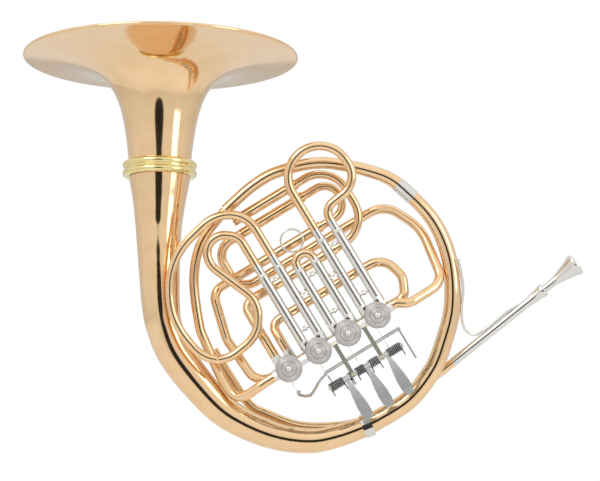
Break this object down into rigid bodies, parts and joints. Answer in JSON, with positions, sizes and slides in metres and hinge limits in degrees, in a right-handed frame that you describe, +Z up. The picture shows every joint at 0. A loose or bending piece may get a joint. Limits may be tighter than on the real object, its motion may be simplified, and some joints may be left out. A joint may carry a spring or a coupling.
{
  "type": "double french horn",
  "caption": "Double french horn with a screw bell, rotary valves, finger levers and sliding tuning crooks.",
  "frame": {"origin": "middle of the valve row, where the left hand holds the horn", "axes": "+Z up towards the bell mouth, +X towards the mouthpiece, -Y towards the valve caps"},
  "size_m": [0.6293, 0.3059, 0.4696],
  "materials": {
    "gold_brass": "lacquered",
    "yellow_brass": "lacquered",
    "nickel_silver": "polished",
    "brushed_nickel": "engraved rings",
    "rotor_bronze": "machined",
    "matte_nickel": "satin"
  },
  "bodies": {
    "horn_body": {"b_flat_loop": "gold_brass", "bell_branch": "gold_brass", "branch_ferrule": "nickel_silver", "f_loop": "gold_brass", "f_return": "gold_brass", "f_slide_sleeves": "nickel_silver", "first_branch": "gold_brass", "leadpipe": "nickel_silver", "lever_axle": "matte_nickel", "main_return": "gold_brass", "main_slide_sleeves": "nickel_silver", "mouthpiece_receiver": "nickel_silver", "outer_loop": "gold_brass", "slide_sleeves_1": "nickel_silver", "slide_sleeves_2": "nickel_silver", "slide_sleeves_3": "nickel_silver", "valve_cap_1": "brushed_nickel", "valve_cap_2": "brushed_nickel", "valve_cap_3": "brushed_nickel", "valve_cap_change": "brushed_nickel", "valve_casing_1": "nickel_silver", "valve_casing_2": "nickel_silver", "valve_casing_3": "nickel_silver", "valve_casing_change": "nickel_silver"},
    "bell": {"bell_flare": "gold_brass", "bell_screw_ring": "yellow_brass"},
    "main_slide": {"main_tuning_slide": "gold_brass"},
    "f_slide": {"f_tuning_slide": "gold_brass"},
    "mouthpiece_body": {"mouthpiece": "nickel_silver"},
    "lever_thumb_body": {"lever_thumb": "matte_nickel"},
    "link_change_body": {"link_change": "nickel_silver"},
    "rotor_change_body": {"rotor_change": "rotor_bronze", "stop_arm_change": "nickel_silver"},
    "lever_3_body": {"lever_3": "matte_nickel"},
    "link_3_body": {"link_3": "nickel_silver"},
    "rotor_3_body": {"rotor_3": "rotor_bronze", "stop_arm_3": "nickel_silver"},
    "lever_2_body": {"lever_2": "matte_nickel"},
    "link_2_body": {"link_2": "nickel_silver"},
    "rotor_2_body": {"rotor_2": "rotor_bronze", "stop_arm_2": "nickel_silver"},
    "lever_1_body": {"lever_1": "matte_nickel"},
    "link_1_body": {"link_1": "nickel_silver"},
    "rotor_1_body": {"rotor_1": "rotor_bronze", "stop_arm_1": "nickel_silver"},
    "slide_3": {"valve_slide_3": "gold_brass"},
    "slide_2": {"valve_slide_2": "gold_brass"},
    "slide_1": {"valve_slide_1": "gold_brass"}
  },
  "joints": [
    {"name": "bell_unscrews", "type": "hinge", "parent": "horn_body", "child": "bell", "pos_m": [-0.1935, 0.026, 0.19], "axis": [0, 0.1616, 0.9869], "range_deg": [0, 360]},
    {"name": "press_thumb", "type": "hinge", "parent": "horn_body", "child": "lever_thumb_body", "pos_m": [-0.04071, -0.0305, -0.05418], "axis": [0.8549, 0, 0.5188], "range_deg": [0, 13.5], "stiffness_Nm_per_rad": 0.4, "springref_deg": -6.88},
    {"name": "link_change_turns", "type": "hinge", "parent": "lever_thumb_body", "child": "link_change_body", "pos_m": [-0.0376, 0.0185, -0.05931], "axis": [0.8549, 0, 0.5188], "range_deg": [-14.5, 1]},
    {"name": "rotor_change_turns", "type": "hinge", "parent": "horn_body", "child": "rotor_change_body", "pos_m": [-0.04834, 0, -0.02934], "axis": [0, 1, 0], "range_deg": [-1, 91]},
    {"name": "press_3", "type": "hinge", "parent": "horn_body", "child": "lever_3_body", "pos_m": [0.00023, -0.036, -0.04899], "axis": [0.8549, 0, 0.5188], "range_deg": [0, 13.5], "stiffness_Nm_per_rad": 0.4, "springref_deg": -6.88},
    {"name": "link_3_turns", "type": "hinge", "parent": "lever_3_body", "child": "link_3_body", "pos_m": [0.00334, 0.0185, -0.05412], "axis": [0.8549, 0, 0.5188], "range_deg": [-14.5, 1]},
    {"name": "rotor_3_turns", "type": "hinge", "parent": "horn_body", "child": "rotor_3_body", "pos_m": [-0.01612, 0, -0.00978], "axis": [0, 1, 0], "range_deg": [-1, 91]},
    {"name": "press_2", "type": "hinge", "parent": "horn_body", "child": "lever_2_body", "pos_m": [0.03246, -0.036, -0.02943], "axis": [0.8549, 0, 0.5188], "range_deg": [0, 13.5], "stiffness_Nm_per_rad": 0.4, "springref_deg": -6.88},
    {"name": "link_2_turns", "type": "hinge", "parent": "lever_2_body", "child": "link_2_body", "pos_m": [0.03558, 0.0185, -0.03456], "axis": [0.8549, 0, 0.5188], "range_deg": [-14.5, 1]},
    {"name": "rotor_2_turns", "type": "hinge", "parent": "horn_body", "child": "rotor_2_body", "pos_m": [0.01612, 0, 0.00978], "axis": [0, 1, 0], "range_deg": [-1, 91]},
    {"name": "press_1", "type": "hinge", "parent": "horn_body", "child": "lever_1_body", "pos_m": [0.06469, -0.036, -0.00987], "axis": [0.8549, 0, 0.5188], "range_deg": [0, 13.5], "stiffness_Nm_per_rad": 0.4, "springref_deg": -6.88},
    {"name": "link_1_turns", "type": "hinge", "parent": "lever_1_body", "child": "link_1_body", "pos_m": [0.06781, 0.0185, -0.015], "axis": [0.8549, 0, 0.5188], "range_deg": [-14.5, 1]},
    {"name": "rotor_1_turns", "type": "hinge", "parent": "horn_body", "child": "rotor_1_body", "pos_m": [0.04834, 0, 0.02934], "axis": [0, 1, 0], "range_deg": [-1, 91]},
    {"name": "pull_valve_slide_3", "type": "slide", "parent": "horn_body", "child": "slide_3", "axis": [-0.5188, 0, 0.8549], "range_m": [0, 0.028]},
    {"name": "pull_valve_slide_2", "type": "slide", "parent": "horn_body", "child": "slide_2", "axis": [-0.5188, 0, 0.8549], "range_m": [0, 0.045]},
    {"name": "pull_valve_slide_1", "type": "slide", "parent": "horn_body", "child": "slide_1", "axis": [-0.5188, 0, 0.8549], "range_m": [0, 0.055]},
    {"name": "pull_main_slide", "type": "slide", "parent": "horn_body", "child": "main_slide", "axis": [0.8549, 0, 0.5188], "range_m": [0, 0.05]},
    {"name": "pull_f_slide", "type": "slide", "parent": "horn_body", "child": "f_slide", "axis": [0.8549, 0, 0.5188], "range_m": [0, 0.05]},
    {"name": "pull_mouthpiece", "type": "slide", "parent": "horn_body", "child": "mouthpiece_body", "axis": [0.7823, 0, 0.6229], "range_m": [0, 0.03]}
  ],
  "couplings": [
    {"joint": "link_change_turns", "follows": "press_thumb", "ratio": -1},
    {"joint": "rotor_change_turns", "follows": "press_thumb", "ratio": 6.6667},
    {"joint": "link_3_turns", "follows": "press_3", "ratio": -1},
    {"joint": "rotor_3_turns", "follows": "press_3", "ratio": 6.6667},
    {"joint": "link_2_turns", "follows": "press_2", "ratio": -1},
    {"joint": "rotor_2_turns", "follows": "press_2", "ratio": 6.6667},
    {"joint": "link_1_turns", "follows": "press_1", "ratio": -1},
    {"joint": "rotor_1_turns", "follows": "press_1", "ratio": 6.6667}
  ]
}
